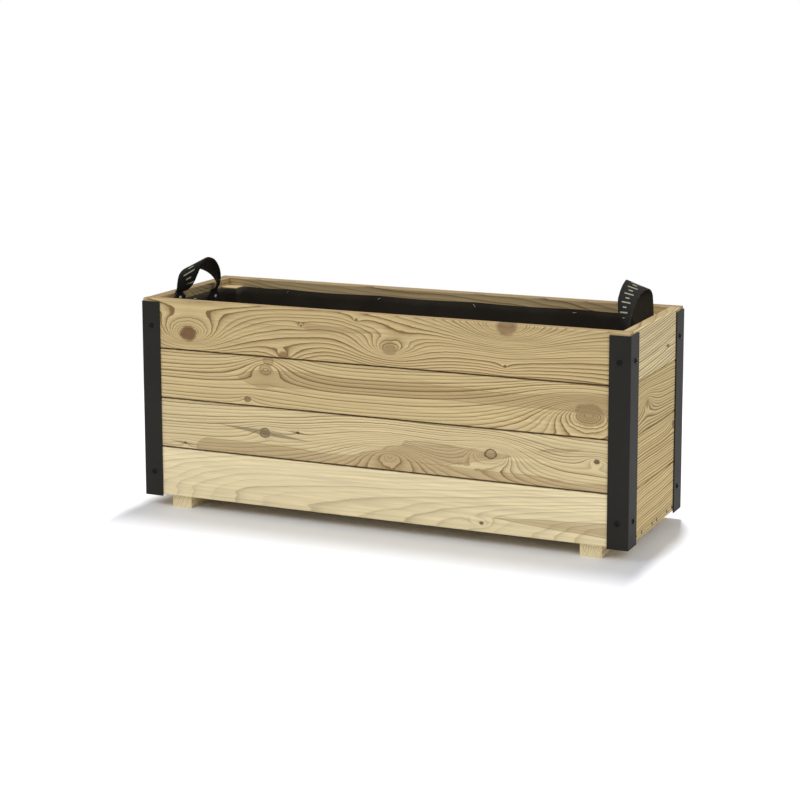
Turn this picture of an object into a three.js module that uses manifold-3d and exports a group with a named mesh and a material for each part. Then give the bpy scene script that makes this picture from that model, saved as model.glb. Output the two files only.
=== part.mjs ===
// Rectangular timber planter with steel corner angles, a liner and two webbing handles.
// Millimetres. +X runs along the length, -Y is the front and +Z is up.
// The origin is on the ground, under the middle of the box.

import * as THREE from 'three';
import { mergeVertices } from 'three/addons/utils/BufferGeometryUtils.js';
import Module from 'manifold-3d';

const wasm = await Module();
wasm.setup();

// Overall size
const overallLength = 900; // over the corner angles
const overallDepth = 300; // over the corner angles
const fit = 0.3; // clearance where one piece seats against another
const cutterSpare = 1; // how far a cutter starts outside what it cuts

// Wall boards
const rowCount = 4;
const boardWidth = 87.6;
const boardThickness = 18;
const boardGap = 0.8; // between one row and the next
const boardEdgeRadius = 2.5;

// Corner angles
const angleThickness = 2;
const angleLongLeg = 36; // on the front and back
const angleEndLeg = 44; // on the ends
const angleBendRadius = 2.4; // outside of the bend
const angleBelowRim = 5.4;
const angleBelowBoards = 2.4;

// Screws that hold the angles
const screwHeadDiameter = 9;
const screwHeadHeight = 2.4;
const screwShankDiameter = 4;
const screwLength = 15; // under the head
const socketDiameter = 3.6; // across the corners of the hexagon
const socketDepth = 1.5;
const screwFromAngleEnd = 43.4;
const screwFromCornerLong = 19;
const screwFromCornerEnd = 26;
const pilotSpare = 0.6; // depth of a pilot hole past the tip of its screw
const headCrown = 0.5; // flat middle of a head, as a share of its width
const screwTip = 0.3; // blunt tip, as a share of the shank's width

// Corner posts
const postSide = 32;
const postBelowRim = 14.5;
const postEdgeRadius = 1.5;

// Feet
const footHeight = 23;
const footWidth = 38;
const footFromEnd = 67; // middle of the foot to the end of the box
const footSetback = 12; // behind the faces of the boards
const footEdgeRadius = 1.5;

// Floor boards
const floorThickness = 18;
const floorGap = 4; // for drainage

// Liner
const linerThickness = 1;
const linerClearance = 0.4; // to the walls, posts and floor
const linerBelowRim = 16;
const linerInnerRadius = 14; // where it turns from a wall to a post
const linerFloorRadius = 12; // where its sides turn into its floor
const linerFoldDepth = 4; // how far a fold stands in from the wall
const linerSag = 2.5; // dip of the top edge between two staples
const staplePitch = 188;
const stapleShift = -24; // of the row of staples from the middle of the wall
const linerFoldTaper = 70; // length over which the folds die out beside a post
const linerFoldEnds = 0.4; // depth of a fold at its top and bottom, as a share of its full depth

// Webbing handles
const webbingWidth = 41;
const webbingThickness = 2.2;
const handleSpan = 127; // between the middles of the two folded tails
const wallEdgeReach = 3.5; // of the crown's edge beside the wall, inwards
const freeEdgeReach = 40.5; // of the crown's free edge, inwards
const reachPower = 0.62; // below 1, the legs open out sooner
const risePower = 1.25; // above 1, the crown is more peaked
const hingeAboveRim = 2;
const tailBelowFixing = 10;
const webbingEase = 0.3; // rounding of the webbing's edges, as a share of its thickness

// Screws that fix the handle tails
const fixingHeadDiameter = 8;
const fixingHeadHeight = 2.2;
const fixingShankDiameter = 3.6;
const fixingInBoard = 12;
const crossLength = 4.4;
const crossWidth = 1;
const crossDepth = 1;

// Levels and faces that follow from these sizes
const wallBottom = footHeight + fit;
const rowPitch = boardWidth + boardGap;
const rim = wallBottom + rowCount * rowPitch - boardGap;
const faceX = overallLength / 2 - angleThickness - fit;
const faceY = overallDepth / 2 - angleThickness - fit;
const insideX = faceX - boardThickness;
const insideY = faceY - boardThickness;
const angleBottom = wallBottom - angleBelowBoards;
const angleTop = rim - angleBelowRim;
const screwLevels = { low: angleBottom + screwFromAngleEnd, high: angleTop - screwFromAngleEnd };
const floorTop = wallBottom + floorThickness;
const foldedWidth = webbingWidth / 2;
const foldedThickness = webbingThickness * 2;
const tailSeat = linerClearance + linerThickness + fit + foldedThickness / 2;
const fixingSeat = tailSeat + foldedThickness / 2 + fit;

// The webbing was bent by hand, so each handle has its own form. It is off the middle of its wall,
// its two edges rise above the hinge line and lean towards its steep leg, and its tails are fixed
// at their own depths below the rim.
const leftHandle = {
  offMiddle: 1.5,
  wallEdge: { rise: 36.5, lean: 37 },
  freeEdge: { rise: 57, lean: 30 },
  steepTailDrop: 11,
  slopeTailDrop: 27,
};
const rightHandle = {
  offMiddle: 8,
  wallEdge: { rise: 42, lean: 23.5 },
  freeEdge: { rise: 54, lean: 32 },
  steepTailDrop: 34,
  slopeTailDrop: 34,
};

// The two tails of a handle, seen from its end wall
const tailsOf = (handle) => [
  { along: -handleSpan / 2, drop: handle.steepTailDrop },
  { along: handleSpan / 2, drop: handle.slopeTailDrop },
];

// Facets
const roundSides = 12;
const domeSteps = 3; // over a screw's head
const edgeSteps = 2; // in each half of a rounded edge
const outlineSteps = 3; // in each turn of the liner
const longWallSpans = 24;
const endWallSpans = 4;
const loopSteps = 28;
const faceSpans = 4; // across the webbing
const endAngles = [40, 75]; // of the rings round a half-round end, in degrees

// Materials
const finish = (color, roughness, metalness) => ({ color, roughness, metalness });
const pine = finish(0xc9ac78, 0.75, 0);
const powderCoat = finish(0x35363a, 0.5, 0.4);
const blackSteel = finish(0x161616, 0.4, 0.7);
const webbing = finish(0x1d1c1a, 0.9, 0);
const linerCloth = finish(0x24211d, 0.85, 0);
const zinc = finish(0xb8bcc0, 0.35, 0.9);

const planter = new THREE.Group();

function addMesh(parent, name, geometry, look) {
  const mesh = new THREE.Mesh(geometry, new THREE.MeshStandardMaterial(look));
  mesh.name = name;
  parent.add(mesh);
  return mesh;
}

function addGroup(parent, x, y, z, turn) {
  const group = new THREE.Group();
  group.position.set(x, y, z);
  group.rotation.z = turn;
  parent.add(group);
  return group;
}

// Solids

function toSolid(geometry) {
  const bare = geometry.clone();
  bare.deleteAttribute('normal');
  bare.deleteAttribute('uv');
  const merged = mergeVertices(bare);
  const vertProperties = new Float32Array(merged.attributes.position.array);
  const triVerts = new Uint32Array(merged.index.array);
  return new wasm.Manifold(new wasm.Mesh({ numProp: 3, vertProperties, triVerts }));
}

function cut(geometry, tools) {
  const solid = tools.reduce((rest, tool) => rest.subtract(toSolid(tool)), toSolid(geometry));
  const mesh = solid.getMesh();
  const result = new THREE.BufferGeometry();
  result.setAttribute('position', new THREE.BufferAttribute(mesh.vertProperties, 3));
  result.setIndex(new THREE.BufferAttribute(mesh.triVerts, 1));
  return result;
}

// A round cutter between two points
function bore(diameter, from, to) {
  const along = to.clone().sub(from);
  const cutter = new THREE.CylinderGeometry(diameter / 2, diameter / 2, along.length(), roundSides);
  const cutterAxis = new THREE.Vector3(0, 1, 0);
  cutter.applyQuaternion(new THREE.Quaternion().setFromUnitVectors(cutterAxis, along.normalize()));
  const middle = from.clone().lerp(to, 0.5);
  return cutter.translate(middle.x, middle.y, middle.z);
}

// A bar along X with rounded long edges
function roundedBar(length, sizeY, sizeZ, radius) {
  const y = sizeY / 2 - radius;
  const z = sizeZ / 2 - radius;
  const quarter = Math.PI / 2;
  const section = new THREE.Shape();
  section.absarc(y, z, radius, 0, quarter);
  section.absarc(-y, z, radius, quarter, 2 * quarter);
  section.absarc(-y, -z, radius, 2 * quarter, 3 * quarter);
  section.absarc(y, -z, radius, 3 * quarter, 4 * quarter);
  const settings = { depth: length, bevelEnabled: false, curveSegments: edgeSteps };
  const bar = new THREE.ExtrudeGeometry(section, settings).translate(0, 0, -length / 2);
  const toX = new THREE.Matrix4().makeBasis(
    new THREE.Vector3(0, 1, 0),
    new THREE.Vector3(0, 0, 1),
    new THREE.Vector3(1, 0, 0),
  );
  return bar.applyMatrix4(toX);
}

// A closed skin through rings of points; capFaces fills the last ring and, reversed, the first
function loft(rings, capFaces) {
  const count = rings[0].length;
  const last = (rings.length - 1) * count;
  const index = [];
  for (let start = 0; start < last; start += count) {
    for (let place = 0; place < count; place++) {
      const a = start + place;
      const b = start + ((place + 1) % count);
      index.push(a, b, b + count, a, b + count, a + count);
    }
  }
  for (const [a, b, c] of capFaces) {
    index.push(c, b, a, last + a, last + b, last + c);
  }
  const geometry = new THREE.BufferGeometry().setFromPoints(rings.flat());
  geometry.setIndex(index);
  return geometry;
}

// A screw along Y: the underside of its head is at 0 and its shank points to +Y
function screwGeometry(headDiameter, headHeight, shankDiameter, length, recess) {
  const head = headDiameter / 2;
  const shank = shankDiameter / 2;
  const dome = head * (1 - headCrown);
  const profile = [new THREE.Vector2(0, -headHeight)];
  for (let step = 0; step <= domeSteps; step++) {
    const angle = (step / domeSteps) * (Math.PI / 2);
    const radius = head - dome + dome * Math.sin(angle);
    profile.push(new THREE.Vector2(radius, -headHeight * Math.cos(angle)));
  }
  profile.push(
    new THREE.Vector2(shank, 0),
    new THREE.Vector2(shank, length - shankDiameter),
    new THREE.Vector2(shank * screwTip, length),
    new THREE.Vector2(0, length),
  );
  return cut(new THREE.LatheGeometry(profile, roundSides), recess);
}

// Walls: stacked boards with blind pilot holes for the screws that meet them

function wallPilots(boardMiddle, screwPlaces, handle) {
  const outerFace = -boardThickness / 2;
  const screwDepth = screwLength - angleThickness - 2 * fit + pilotSpare;
  const fixingDepth = fixingInBoard + pilotSpare;
  const pilots = [];
  for (const level of Object.values(screwLevels)) {
    for (const x of screwPlaces) {
      const mouth = new THREE.Vector3(x, outerFace - cutterSpare, level - boardMiddle);
      const end = mouth.clone().setY(outerFace + screwDepth);
      pilots.push({ mouth, end, diameter: screwShankDiameter + 2 * fit });
    }
  }
  for (const tail of handle ? tailsOf(handle) : []) {
    const x = -handle.offMiddle - tail.along;
    const mouth = new THREE.Vector3(x, cutterSpare - outerFace, rim - tail.drop - boardMiddle);
    const end = mouth.clone().setY(-outerFace - fixingDepth);
    pilots.push({ mouth, end, diameter: fixingShankDiameter + 2 * fit });
  }
  return pilots.filter((pilot) => Math.abs(pilot.mouth.z) < (boardWidth + pilot.diameter) / 2);
}

function addWall(name, turn, face, length, screwPlace, handle) {
  const wall = addGroup(planter, 0, 0, 0, turn);
  for (let row = 0; row < rowCount; row++) {
    const middle = wallBottom + row * rowPitch + boardWidth / 2;
    const pilots = wallPilots(middle, [-screwPlace, screwPlace], handle);
    const holes = pilots.map((pilot) => bore(pilot.diameter, pilot.mouth, pilot.end));
    const bar = roundedBar(length, boardThickness, boardWidth, boardEdgeRadius);
    const board = addMesh(wall, `${name}_board_${row + 1}`, cut(bar, holes), pine);
    board.position.set(0, boardThickness / 2 - face, middle);
  }
}

const longScrewPlace = overallLength / 2 - screwFromCornerLong;
const endScrewPlace = overallDepth / 2 - screwFromCornerEnd;
const endBoardLength = 2 * (insideY - fit);
addWall('front', 0, faceY, 2 * faceX, longScrewPlace);
addWall('right_end', Math.PI / 2, faceX, endBoardLength, endScrewPlace, rightHandle);
addWall('back', Math.PI, faceY, 2 * faceX, longScrewPlace);
addWall('left_end', -Math.PI / 2, faceX, endBoardLength, endScrewPlace, leftHandle);

// Corner angles: a folded strip and its socket screws

function angleGeometry(legX, legY, holes) {
  const innerRadius = angleBendRadius - angleThickness;
  const section = new THREE.Shape();
  section.moveTo(legX, 0);
  section.lineTo(legX, angleThickness);
  section.absarc(angleBendRadius, angleBendRadius, innerRadius, 1.5 * Math.PI, Math.PI, true);
  section.lineTo(angleThickness, legY);
  section.lineTo(0, legY);
  section.absarc(angleBendRadius, angleBendRadius, angleBendRadius, Math.PI, 1.5 * Math.PI);
  const settings = { depth: angleTop - angleBottom, bevelEnabled: false, curveSegments: edgeSteps };
  return cut(new THREE.ExtrudeGeometry(section, settings), holes);
}

function socketRecess() {
  const socket = new THREE.CylinderGeometry(socketDiameter / 2, socketDiameter / 2, 2 * socketDepth, 6);
  return socket.translate(0, -screwHeadHeight, 0);
}

function addCorner(name, x, y, turn, legX, legY) {
  const corner = addGroup(planter, x, y, angleBottom, turn);
  const screw = screwGeometry(
    screwHeadDiameter,
    screwHeadHeight,
    screwShankDiameter,
    screwLength,
    [socketRecess()],
  );
  const holeDiameter = screwShankDiameter + 4 * fit;
  const holes = [];
  for (const [level, height] of Object.entries(screwLevels)) {
    const z = height - angleBottom;
    const mouthX = new THREE.Vector3(legX.screw, -angleThickness, z);
    const mouthY = new THREE.Vector3(-angleThickness, legY.screw, z);
    holes.push(bore(holeDiameter, mouthX, mouthX.clone().setY(2 * angleThickness)));
    holes.push(bore(holeDiameter, mouthY, mouthY.clone().setX(2 * angleThickness)));
    const screwX = addMesh(corner, `screw_${name}_${legX.name}_${level}`, screw, blackSteel);
    screwX.position.set(legX.screw, -fit, z);
    const screwY = addMesh(corner, `screw_${name}_${legY.name}_${level}`, screw, blackSteel);
    screwY.position.set(-fit, legY.screw, z);
    screwY.rotation.z = -Math.PI / 2;
  }
  addMesh(corner, `corner_angle_${name}`, angleGeometry(legX.length, legY.length, holes), powderCoat);
}

const longLeg = { name: 'long', length: angleLongLeg, screw: screwFromCornerLong };
const endLeg = { name: 'end', length: angleEndLeg, screw: screwFromCornerEnd };
const cornerX = overallLength / 2;
const cornerY = overallDepth / 2;
addCorner('front_left', -cornerX, -cornerY, 0, longLeg, endLeg);
addCorner('front_right', cornerX, -cornerY, Math.PI / 2, endLeg, longLeg);
addCorner('back_right', cornerX, cornerY, Math.PI, longLeg, endLeg);
addCorner('back_left', -cornerX, cornerY, -Math.PI / 2, endLeg, longLeg);

// Corner posts

function addPost(name, sideX, sideY) {
  const height = rim - postBelowRim - wallBottom;
  const inFromWall = fit + postSide / 2;
  const bar = roundedBar(height, postSide, postSide, postEdgeRadius);
  const post = addMesh(planter, `corner_post_${name}`, bar, pine);
  post.position.x = sideX * (insideX - inFromWall);
  post.position.y = sideY * (insideY - inFromWall);
  post.position.z = wallBottom + height / 2;
  post.rotation.y = Math.PI / 2;
}

addPost('front_left', -1, -1);
addPost('front_right', 1, -1);
addPost('back_right', 1, 1);
addPost('back_left', -1, 1);

// Feet across the underside

function addFoot(name, side) {
  const bar = roundedBar(2 * (faceY - footSetback), footWidth, footHeight, footEdgeRadius);
  const foot = addMesh(planter, `foot_${name}`, bar, pine);
  foot.position.set(side * (overallLength / 2 - footFromEnd), 0, footHeight / 2);
  foot.rotation.z = Math.PI / 2;
}

addFoot('left', -1);
addFoot('right', 1);

// Floor: one plain middle board and two outer boards notched round the posts

const floorLength = 2 * (insideX - fit);
const floorMiddle = wallBottom + floorThickness / 2;
const middleFloorWidth = 2 * (insideY - fit - boardWidth - floorGap);

const middleFloor = roundedBar(floorLength, middleFloorWidth, floorThickness, boardEdgeRadius);
addMesh(planter, 'floor_board_middle', middleFloor, pine).position.z = floorMiddle;

function notchedFloor() {
  const notch = 2 * (postSide + fit);
  const notches = [-1, 1].map((end) => {
    const block = new THREE.BoxGeometry(notch, notch, 2 * floorThickness);
    return block.translate((end * floorLength) / 2, -boardWidth / 2, 0);
  });
  return cut(roundedBar(floorLength, boardWidth, floorThickness, boardEdgeRadius), notches);
}

function addOuterFloor(name, turn) {
  const half = addGroup(planter, 0, 0, floorMiddle, turn);
  const board = addMesh(half, `floor_board_${name}`, notchedFloor(), pine);
  board.position.y = boardWidth / 2 + fit - insideY;
}

addOuterFloor('front', 0);
addOuterFloor('back', Math.PI);

// Liner: an open bag that follows the walls, wraps the posts and folds between its staples

const smooth = (value) => THREE.MathUtils.smoothstep(value, 0, 1);

// Corners of the bag in plan, anticlockwise from the front right post
function linerCorners() {
  const wallX = insideX - linerClearance;
  const wallY = insideY - linerClearance;
  const postX = insideX - fit - postSide - linerClearance;
  const postY = insideY - fit - postSide - linerClearance;
  const postRadius = postEdgeRadius + linerClearance;
  const roundPost = (sideX, sideY) => [
    { at: new THREE.Vector2(sideX * postX, sideY * wallY), radius: linerInnerRadius, spans: 1 },
    { at: new THREE.Vector2(sideX * postX, sideY * postY), radius: postRadius, spans: 1 },
    { at: new THREE.Vector2(sideX * wallX, sideY * postY), radius: linerInnerRadius, spans: 1 },
  ];
  const thenWall = (corners, spans) => [...corners.slice(0, -1), { ...corners.at(-1), spans }];
  return [
    ...thenWall(roundPost(1, -1), endWallSpans),
    ...thenWall(roundPost(1, 1).reverse(), longWallSpans),
    ...thenWall(roundPost(-1, 1), endWallSpans),
    ...thenWall(roundPost(-1, -1).reverse(), longWallSpans),
  ];
}

// The outline with rounded corners, as points that each know the way into the bag
function linerOutline() {
  const corners = linerCorners();
  const outline = [];
  corners.forEach((corner, place) => {
    const before = corners.at(place - 1);
    const after = corners[(place + 1) % corners.length];
    const arriving = corner.at.clone().sub(before.at).normalize();
    const leaving = after.at.clone().sub(corner.at).normalize();
    const intoBefore = new THREE.Vector2(-arriving.y, arriving.x);
    const intoAfter = new THREE.Vector2(-leaving.y, leaving.x);
    const outwards = arriving.cross(leaving) > 0 ? -corner.radius : corner.radius;
    const back = arriving.clone().multiplyScalar(-corner.radius);
    const centre = corner.at.clone().add(back).addScaledVector(leaving, corner.radius);
    for (let step = 0; step <= outlineSteps; step++) {
      const angle = (step / outlineSteps) * (Math.PI / 2);
      const into = intoBefore.clone().multiplyScalar(Math.cos(angle));
      into.addScaledVector(intoAfter, Math.sin(angle));
      outline.push({ at: centre.clone().addScaledVector(into, outwards), into });
    }
    const start = outline.at(-1).at;
    const end = after.at.clone().addScaledVector(leaving, -after.radius);
    for (let step = 1; step < corner.spans; step++) {
      outline.push({ at: start.clone().lerp(end, step / corner.spans), into: intoAfter });
    }
  });
  return outline;
}

// 0 at a staple, beside a post and on the end walls; 1 at the middle of a fold
function foldAt(point) {
  const onLongWall = Math.abs(point.y) > insideY - postSide / 2;
  const fromStaple = (point.x - stapleShift) / staplePitch - 0.5;
  const fromPost = insideX - fit - postSide - Math.abs(point.x);
  return onLongWall ? Math.sin(Math.PI * fromStaple) ** 2 * smooth(fromPost / linerFoldTaper) : 0;
}

// One ring of the bag: share runs up its side and turn runs round from its side to its floor
function linerRing(outline, skin, share, turn) {
  const bend = linerFloorRadius - skin;
  const sideBottom = floorTop + linerClearance + linerFloorRadius;
  const foldShare = THREE.MathUtils.lerp(linerFoldEnds, 1, Math.sin(Math.PI * share)) * Math.cos(turn);
  return outline.map(({ at, into }) => {
    const fold = foldAt(at);
    const inset = linerFloorRadius - bend * Math.cos(turn) + linerFoldDepth * fold * foldShare;
    const sideTop = rim - linerBelowRim - linerSag * fold;
    const height = THREE.MathUtils.lerp(sideBottom, sideTop, share) - bend * Math.sin(turn);
    const plan = at.clone().addScaledVector(into, inset);
    return new THREE.Vector3(plan.x, plan.y, height);
  });
}

function linerGeometry() {
  const outline = linerOutline();
  const sideShares = [0, 0.4, 0.8, 1];
  const skinRings = (skin) => [
    linerRing(outline, skin, 0, Math.PI / 2),
    linerRing(outline, skin, 0, Math.PI / 4),
    ...sideShares.map((share) => linerRing(outline, skin, share, 0)),
  ];
  const rings = [...skinRings(0), ...skinRings(linerThickness).reverse()];
  const floorOutline = rings[0].map((point) => new THREE.Vector2(point.x, point.y));
  const bag = loft(rings, THREE.ShapeUtils.triangulateShape(floorOutline, []));
  const holes = [];
  for (const [side, handle] of [[-1, leftHandle], [1, rightHandle]]) {
    for (const tail of tailsOf(handle).filter(({ drop }) => drop > linerBelowRim)) {
      const y = -side * (handle.offMiddle + tail.along);
      const mouth = new THREE.Vector3(side * insideX, y, rim - tail.drop);
      const end = mouth.clone().setX(side * (insideX - fixingSeat));
      holes.push(bore(fixingShankDiameter + 4 * fit, mouth, end));
    }
  }
  return cut(bag, holes);
}

addMesh(planter, 'liner', linerGeometry(), linerCloth);

// Handles: a loop of webbing that swings at the rim, on two folded tails screwed to the end wall

// One ring of a strip that runs along one direction and lies across another
function stripRing({ centre, along, across, width, thickness }) {
  const facing = along.clone().cross(across).normalize();
  const ease = thickness * webbingEase;
  const faceEnd = width / 2 - ease;
  const half = [[width / 2, thickness / 2 - ease]];
  for (let step = 0; step <= faceSpans; step++) {
    half.push([faceEnd - (2 * faceEnd * step) / faceSpans, thickness / 2]);
  }
  half.push([-width / 2, thickness / 2 - ease]);
  const section = [...half, ...half.map(([p, q]) => [-p, -q])];
  return section.map(([p, q]) => centre.clone().addScaledVector(across, p).addScaledVector(facing, q));
}

function stripGeometry(stations) {
  const rings = stations.map(stripRing);
  const capFaces = [];
  for (let place = 2; place < rings[0].length; place++) {
    capFaces.push([0, place - 1, place]);
  }
  return loft(rings, capFaces);
}

// Extra rings that round off the start (-1) or the end (1) of a folded strip
function roundedEnd(station, direction) {
  return endAngles.map((degrees) => {
    const angle = THREE.MathUtils.degToRad(degrees);
    const reach = direction * (foldedThickness / 2) * Math.sin(angle);
    const centre = station.centre.clone().addScaledVector(station.along, reach);
    return { ...station, centre, thickness: foldedThickness * Math.cos(angle) };
  });
}

// The loop is a band between two arched edges, one along the wall and one free.
// It is folded at its ends, where the edges are close, and open over the crown.
function edgePoint(edge, span, reach, angle) {
  const height = Math.abs(Math.sin(angle));
  return new THREE.Vector3(
    reach * height ** reachPower,
    (-span / 2) * Math.cos(angle) - edge.lean * height ** 2,
    edge.rise * height ** risePower,
  );
}

function loopStation(handle, angle) {
  const wall = edgePoint(handle.wallEdge, handleSpan + foldedWidth, wallEdgeReach, angle);
  const free = edgePoint(handle.freeEdge, handleSpan - foldedWidth, freeEdgeReach, angle);
  const width = Math.min(wall.distanceTo(free), webbingWidth);
  const open = (width - foldedWidth) / (webbingWidth - foldedWidth);
  return {
    centre: wall.clone().lerp(free, 0.5),
    across: free.clone().sub(wall).normalize(),
    width,
    thickness: THREE.MathUtils.lerp(foldedThickness, webbingThickness, open),
  };
}

function loopGeometry(handle) {
  const stations = [];
  for (let step = 0; step <= loopSteps; step++) {
    stations.push(loopStation(handle, (Math.PI * step) / loopSteps));
  }
  const first = stations[0];
  const last = stations.at(-1);
  first.along = new THREE.Vector3(0, 0, 1);
  last.along = new THREE.Vector3(0, 0, -1);
  for (let step = 1; step < loopSteps; step++) {
    const ahead = stations[step + 1].centre.clone();
    stations[step].along = ahead.sub(stations[step - 1].centre).normalize();
  }
  return stripGeometry([...roundedEnd(first, -1).reverse(), ...stations, ...roundedEnd(last, 1)]);
}

// A tail lies flat on the wall, from below its fixing up to the hinge line
function tailGeometry(tail) {
  const top = hingeAboveRim - foldedThickness - fit;
  const stations = [-tail.drop - tailBelowFixing, top].map((z) => ({
    centre: new THREE.Vector3(tailSeat, tail.along, z),
    along: new THREE.Vector3(0, 0, 1),
    across: new THREE.Vector3(0, 1, 0),
    width: foldedWidth,
    thickness: foldedThickness,
  }));
  stations.push(...roundedEnd(stations.at(-1), 1));
  const mouth = new THREE.Vector3(0, tail.along, -tail.drop);
  const hole = bore(fixingShankDiameter + 2 * fit, mouth, mouth.clone().setX(2 * fixingSeat));
  return cut(stripGeometry(stations), [hole]);
}

function crossRecess() {
  const slots = [
    new THREE.BoxGeometry(crossLength, 2 * crossDepth, crossWidth),
    new THREE.BoxGeometry(crossWidth, 2 * crossDepth, crossLength),
  ];
  return slots.map((slot) => slot.translate(0, -fixingHeadHeight, 0));
}

function addHandle(name, handle, side, turn, tailNames) {
  const end = addGroup(planter, side * insideX, -side * handle.offMiddle, rim, turn);
  const loop = addMesh(end, `handle_${name}`, loopGeometry(handle), webbing);
  loop.position.set(tailSeat, 0, hingeAboveRim);
  const screw = screwGeometry(
    fixingHeadDiameter,
    fixingHeadHeight,
    fixingShankDiameter,
    fixingSeat + fixingInBoard,
    crossRecess(),
  );
  tailsOf(handle).forEach((tail, place) => {
    addMesh(end, `strap_end_${name}_${tailNames[place]}`, tailGeometry(tail), webbing);
    const fixing = addMesh(end, `strap_screw_${name}_${tailNames[place]}`, screw, zinc);
    fixing.position.set(fixingSeat, tail.along, -tail.drop);
    fixing.rotation.z = Math.PI / 2;
  });
}

addHandle('left', leftHandle, -1, 0, ['front', 'rear']);
addHandle('right', rightHandle, 1, Math.PI, ['rear', 'front']);

export default planter;
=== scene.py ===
"""Looks of the rectangular planter: timber, powder-coated angles, a liner and two webbing handles."""

import math
import random
from typing import NamedTuple

import bpy
from mathutils import Matrix, Vector


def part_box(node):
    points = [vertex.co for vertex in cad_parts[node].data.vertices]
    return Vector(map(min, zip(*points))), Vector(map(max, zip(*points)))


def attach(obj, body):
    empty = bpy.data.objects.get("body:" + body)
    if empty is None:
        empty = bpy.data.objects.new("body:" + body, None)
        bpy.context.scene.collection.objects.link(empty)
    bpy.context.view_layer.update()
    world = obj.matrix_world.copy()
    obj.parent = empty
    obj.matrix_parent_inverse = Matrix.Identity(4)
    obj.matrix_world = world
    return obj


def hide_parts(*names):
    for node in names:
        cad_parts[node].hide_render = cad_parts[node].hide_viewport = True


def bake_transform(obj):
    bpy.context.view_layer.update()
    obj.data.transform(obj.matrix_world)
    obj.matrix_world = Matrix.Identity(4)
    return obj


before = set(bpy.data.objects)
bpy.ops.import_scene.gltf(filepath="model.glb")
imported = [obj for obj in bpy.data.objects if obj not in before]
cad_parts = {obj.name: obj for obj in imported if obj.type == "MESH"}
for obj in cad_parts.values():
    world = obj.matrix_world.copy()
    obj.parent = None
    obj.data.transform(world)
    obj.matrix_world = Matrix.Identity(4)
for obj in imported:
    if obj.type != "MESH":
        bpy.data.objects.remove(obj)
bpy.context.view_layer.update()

MM = 0.001

# Places taken from the CAD frame
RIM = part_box("front_board_4")[1].z
FRONT_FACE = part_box("front_board_4")[0].y
INSIDE_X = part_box("right_end_board_4")[0].x
INSIDE_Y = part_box("back_board_4")[0].y
END_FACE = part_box("right_end_board_4")[1].x
FLOOR_LOW, FLOOR_HIGH = (corner.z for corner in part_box("floor_board_middle"))
POST_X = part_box("corner_post_back_right")[0].x
POST_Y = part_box("corner_post_back_right")[0].y

# Camera, fitted to the photograph
CAMERA_PLACE = Vector((1.3794, -3.0890, 0.9190))
CAMERA_AIM = Vector((-0.0176, 0, 0.4127))
CAMERA_ROLL = math.radians(-0.123)
CAMERA_LENS = 88.72
CAMERA_SENSOR = 36
CAMERA_SHIFT = -0.15

# Light
SKY_LEVEL = 0.36
FLOOR_SIZE = 6
FLOOR_FADE_FROM = 0.9
FLOOR_FADE_TO = 1.5


class Lamp(NamedTuple):
    """A soft lamp: its place, the point it faces, its width and depth in metres, and its watts."""

    place: Vector
    aim: Vector
    size: tuple
    power: float


LAMPS = {
    "overhead": Lamp(
        place=Vector((-0.2, 1.65, 6)), aim=Vector((0, 0, 0)), size=(0.5, 2.4), power=310,
    ),
    "front_left": Lamp(
        place=Vector((-1.4, -2.8, 2.4)), aim=Vector((0, 0, 0.2)), size=(1.6, 1.6), power=32,
    ),
    "front_right": Lamp(
        place=Vector((2.6, -1.8, 2)), aim=Vector((0, 0, 0.2)), size=(1.6, 1.6), power=29,
    ),
}

# Liner
LINER_THICKNESS = 1 * MM
LINER_CLEARANCE = 0.4 * MM
LINER_BELOW_RIM = 16 * MM
LINER_WALL_RADIUS = 14 * MM
LINER_POST_RADIUS = 1.9 * MM
LINER_FLOOR_RADIUS = 12 * MM
LINER_FOLD_DEPTH = 4 * MM
LINER_SAG = 1.5 * MM
LINER_FOLD_TAPER = 70 * MM
LINER_FOLD_ENDS = 0.25
LINER_ROWS = 24
LINER_ROUND_STEPS = 6
LINER_POST_SPANS = 3
LINER_END_SPANS = 24
LINER_SIDE_SPANS = 120

# Wrinkles of the liner: their depth, radians per metre along a wall, and drift up its side
WRINKLE_DEPTH = 0.5 * MM
FINE_WRINKLE = 95
FINE_DRIFT = 4
BROAD_WRINKLE = 41
BROAD_DRIFT = 7

# Staples and nails
STAPLES_A_SIDE = 4
STAPLE_PITCH = 188 * MM
STAPLE_SHIFT = -24 * MM
STAPLE_BELOW_RIM = 22 * MM
STAPLE_UNEVENNESS = 1 * MM
STAPLE_TILT = math.radians(75)
STAPLE_WIDTH = 7 * MM
STAPLE_WIRE = 0.9 * MM
STAPLE_BEND = 1.3 * MM
STAPLE_LEG = 5 * MM
STAPLE_BEND_STEPS = 4
WIRE_SIDES = 10
NAIL_HEAD = 6.5 * MM
NAIL_SHANK = 2 * MM
NAIL_LENGTH = 8 * MM
NAIL_SIDES = 16
NAIL_SHARES = (0.34, 0.68)

# Webbing handles
WEBBING_WIDTH = 41 * MM
WEBBING_THICKNESS = 1.9 * MM
FOLD_RADIUS = 1.1 * MM
FOLDED_WIDTH = WEBBING_WIDTH / 2
HANDLE_SPAN = 127 * MM
HINGE_ABOVE_RIM = 2 * MM
TAIL_SEAT = 3.9 * MM
TAIL_BELOW_FIXING = 10 * MM
TAIL_FLAT_ABOVE_FIXING = 1 * MM
TAIL_TO_LEG = 4 * MM
WALL_EDGE_REACH = 3.5 * MM
FREE_EDGE_REACH = 40.7 * MM
TAIL_STEPS = 16
LOOP_STEPS = 110
WEBBING_SPANS = 44

# Added to the second webbing coordinate on all but the outer face
INNER_FACE_SHIFT = 2


class Edge(NamedTuple):
    """One arched edge of a loop: how far its crown rises, and leans towards the steep leg."""

    rise: float
    lean: float


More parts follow.
